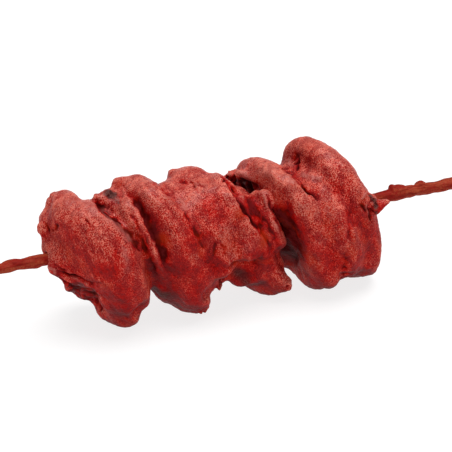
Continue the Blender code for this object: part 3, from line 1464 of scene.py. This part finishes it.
TIP_POCKETS = (
    Pocket((94, 293), 1.9, 0.8, stain=1.5, char=0.7),
    Pocket((108, 192), 2.2, char=1.1),
    Pocket((114, 196), 2.0, 0.4, char=0.9),
    Pocket((118, 202), 1.2, 0.6, char=0.8),
    Pocket((163, 295), 4.0, stain=0.8, char=0.85),
    Pocket((178, 306), 3.0, stain=0.4, char=0.75),
    Pocket((200, 235), 4.0, stain=0.35),
    Pocket((228, 228), 3.5, pale=0.4),
    Pocket((80, 204), 3.0, pale=0.6),
    Pocket((101, 207), 1.3, 1.0, stain=1.6),
    Pocket((108, 213), 1.1, 0.8, stain=1.4),
    Pocket((115, 219), 1.0, 0.7, stain=1.3),
    Pocket((150, 232), 3.0, stain=0.6),
    Pocket((157, 250), 2.6, -0.7, stain=0.2),
    Pocket((212, 207), 6.0, 0.3, stain=0.45, pale=0.15),
    Pocket((190, 178), 5.0, stain=0.3),
    Pocket((132, 189), 4.0, stain=-0.4),
    Pocket((146, 226), 2.4, stain=0.8),
    Pocket((150, 268), 4.0, stain=0.5),
    Pocket((105, 211), 2.4, pale=0.6),
    Pocket((90, 207), 2.4, pale=0.5),
    Pocket((184, 209), 2.2, pale=0.6),
    Pocket((150, 205), 3.0, pale=0.4),
    Pocket((164, 238), 2.0, orange=1.3),
    Pocket((238, 189), 1.9, 2.8, stain=2.0, char=0.4),
    Pocket((246, 190), 1.4, 1.6, stain=1.8, char=0.3),
    Pocket((225, 181), 2.0, stain=1.6),
    Pocket((245, 268), 4.0, -1.2),
    Pocket((238, 271), 3.4, 0.2, stain=0.7, char=0.9),
    Pocket((246, 283), 3.0, stain=0.3, char=0.75),
    Pocket((250, 204), 3.0, -0.5, stain=1.0),
    Pocket((258, 217), 3.0, -0.3, stain=0.9),
    Pocket((262, 228), 2.2, stain=0.6),
    Pocket((248, 247), 2.6, -0.4, pale=0.5),
    Pocket((264, 240), 2.8, stain=-0.7, orange=1.4),
    Pocket((240, 214), 2.4, orange=1.0),
    Pocket((119, 184), 1.8, orange=0.8),
    Pocket((243, 196), 1.2, pale=1.6),
    Pocket((50, 12), 3.2, 0.3, stain=0.6, char=0.8, side=Side.BACK),
    Pocket((29, 26), 2.6, 0.6, stain=1.0, side=Side.BACK),
    Pocket((60, 28), 3.0, orange=0.9, side=Side.BACK),
)

TIP_TEARS = (
    Tear((42, 229), 3.0, 0.35),
    Tear((50, 197), 3.0, 0.3),
    Tear((112, 193), 3.0, 0.5),
    Tear((98, 200), 3.0, 0.4),
    Tear((191, 184), 4.0, 0.25),
    Tear((211, 300), 2.2, 0.9),
    Tear((218, 284), 2.5, 0.9),
    Tear((203, 312), 2.5, 0.6),
    Tear((288, 285), 2.5, 0.7),
    Tear((222, 180), 2.5, 0.7),
    Tear((284, 215), 3.0, 0.35),
    Tear((283, 250), 2.5, 0.6),
    Tear((60, 280), 4.0, 0.3),
    Tear((88, 298), 4.0, 0.5),
    Tear((72, 287), 4.0, 0.35),
    Tear((272, 190), 2.5, 0.6),
)

TIP_MARKS = StripMarks(
    TIP_SCRAPS, TIP_PULLS, TIP_CREASES, TIP_POCKETS, TIP_TEARS
)

HANDLE_SCRAPS = (
    Scrap((242, 172), (2.8, 1.6, 2.4), (-3.2, -0.6, -0.5), 20.0),
    Scrap((242, 176), (3.0, 2.8, 2.2), (-4.0, -2.2, -2.2), -20.0),
    Scrap((242, 176), (2.4, 3.0, 1.4), (-6.4, -2.0, -2.0), 20.0),
    Scrap((242, 176), (0.7, 2.0, 0.8), (-2.9, -3.4, 3.0), -8.0),
    Scrap((246, 170), (3.8, 1.9, 2.2), (-0.4, -1.9, 0.0), -18.0),
    Scrap((286, 168), (1.6, 1.0, 1.4), (0.0, -0.8, 0.0), -20.0),
    Scrap((309, 190), (2.2, 3.4, 2.2), (0.0, 0.0, -0.9), 45.0),
    Scrap((371, 202), (1.3, 3.9, 2.0), (1.2, -0.8, 0.0), 12.0),
    Scrap((371, 202), (3.2, 1.2, 1.3), (3.1, -1.5, 0.0), 48.0),
    Scrap((371, 202), (3.2, 1.1, 1.3), (3.2, -0.2, -0.4), 6.0),
)

HANDLE_PULLS = (
    Pull((292, 275), (6, 3), 4.5, through=True),
    Pull((286, 264), (9, 5), 3.0, through=True),
    Pull((372, 268), (2, -4), 3.0, through=True),
    Pull((331, 286), (1, -2), 2.0, through=True),
    Pull((326, 282), (6, -3), 4.5),
    Pull((362, 272), (0, -3), 3.0),
    Pull((343, 275), (0, 4), 2.0),
    Pull((374, 262), (2, -2), 3.0),
    Pull((296, 143), (-2, 3), 3.0),
)

HANDLE_CREASES = (
    Crease(((318, 202), (309, 191), (303, 185), (297, 179), (290, 173), (285, 171)), 1.4,
           1.5, ledge=0.8, stain=1.2),
    Crease(((317, 200), (308, 190), (302, 184), (296, 178), (289, 172)), 0.4, 0.8, stain=1.3),
    Crease(((297, 153), (297, 162), (295, 171)), 0.75, 1.7, stain=2.3),
    Crease(((283, 168), (289, 171), (295, 170)), 0.5, 0.9, stain=1.3),
    Crease(((300, 175), (312, 178), (324, 181)), 0.8, -0.5, pale=1.1),
    Crease(((288, 158), (291, 163), (292, 168)), 0.7, -0.3, pale=1.0),
    Crease(((284, 200), (288, 220), (295, 243), (300, 262)), 2.2, 0.5, stain=1.1),
    Crease(((350, 205), (351, 225), (350, 245)), 1.2, 0.6, stain=0.4),
    Crease(((345, 272), (346, 262), (346, 252)), 1.3, 1.1, stain=0.4),
    Crease(((360, 200), (364, 196), (366, 192)), 0.3, -0.4, pale=1.8),
    Crease(((361, 203), (363, 208), (365, 214)), 0.35, 0.8, stain=1.5),
    Crease(((367, 206), (369, 213), (371, 220)), 0.35, 0.8, stain=1.5),
    Crease(((364, 203), (366, 209), (368, 215)), 0.3, -0.4, pale=1.0),
    Crease(((234, 183), (242, 182), (250, 184), (259, 189)), 0.9, 1.4, stain=1.0),
    Crease(((262, 166), (280, 180), (296, 200), (310, 225)), 1.6, -0.5),
    Crease(((330, 158), (342, 172), (352, 190)), 1.6, 0.6, stain=0.2),
    Crease(((-6, 10), (-12, 24), (-14, 38)), 0.8, 0.9, stain=1.1, side=Side.BACK),
    Crease(((-28, 8), (-33, 22), (-36, 38)), 1.0, 1.0, ledge=0.4, stain=0.9, side=Side.BACK),
)

HANDLE_POCKETS = (
    Pocket((241, 189), 2.0, 2.2, stain=1.8, char=0.4),
    Pocket((250, 190), 1.8, 2.2, stain=1.8, char=0.3),
    Pocket((241, 174), 2.2, pale=1.1),
    Pocket((250, 179), 2.0, pale=0.9),
    Pocket((274, 201), 3.6, -2.2, stain=0.3),
    Pocket((281, 214), 3.4, -2.4, stain=0.6),
    Pocket((287, 234), 3.0, -1.0, stain=0.6),
    Pocket((309, 190), 2.6, -2.4, stain=0.5),
    Pocket((262, 172), 4.0, stain=-0.8),
    Pocket((298, 212), 4.0, stain=-0.5),
    Pocket((381, 205), 2.4, stain=0.8),
    Pocket((365, 236), 7.0, stain=0.35),
    Pocket((360, 213), 5.0, stain=0.3),
    Pocket((345, 232), 2.4, pale=0.4),
    Pocket((300, 255), 4.0, stain=0.5),
    Pocket((262, 176), 3.0, pale=0.4),
    Pocket((330, 215), 3.2, pale=0.4),
    Pocket((318, 245), 3.0, pale=0.4),
    Pocket((226, 182), 2.4, stain=1.4),
    Pocket((287, 250), 3.4, 1.5, stain=2.0, char=0.3),
    Pocket((370, 196), 1.0, char=1.2),
    Pocket((374, 200), 1.0, char=1.2),
    Pocket((376, 206), 1.1, char=1.3),
    Pocket((376, 213), 1.0, char=1.1),
    Pocket((308, 145), 4.0, orange=0.5),
    Pocket((326, 222), 3.0, orange=0.6),
    Pocket((-20, 14), 3.0, 0.3, stain=0.5, char=0.75, side=Side.BACK),
    Pocket((-38, 30), 2.8, orange=0.9, side=Side.BACK),
)

HANDLE_TEARS = (
    Tear((286, 168), 3.0, 0.6),
    Tear((297, 163), 2.5, 0.7),
    Tear((372, 206), 2.5, 0.6),
    Tear((228, 176), 3.5, 1.0),
    Tear((343, 273), 3.0, 0.35),
)

HANDLE_MARKS = StripMarks(
    HANDLE_SCRAPS, HANDLE_PULLS, HANDLE_CREASES, HANDLE_POCKETS, HANDLE_TEARS
)


def main() -> None:
    """Build the skewer, its light and its camera."""
    logging.basicConfig(level=logging.INFO, format="%(message)s")
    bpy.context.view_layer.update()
    PHOTOGRAPH.place_camera()
    Studio().build()
    meat = SauceFinish().material()
    makers = (
        (MeatStrip("tip_meat", "tip_strip", TIP_MARKS, seed=1.0), meat),
        (MeatStrip("handle_meat", "handle_strip", HANDLE_MARKS, seed=11.0, voxel=0.40), meat),
        (SaucedStick(), StickFinish().material()),
    )
    for maker, material in makers:
        piece = maker.build()
        maker.dress(material)
        log.info("%s: %d faces", piece.name, len(piece.data.polygons))


if __name__ == "__main__":
    main()
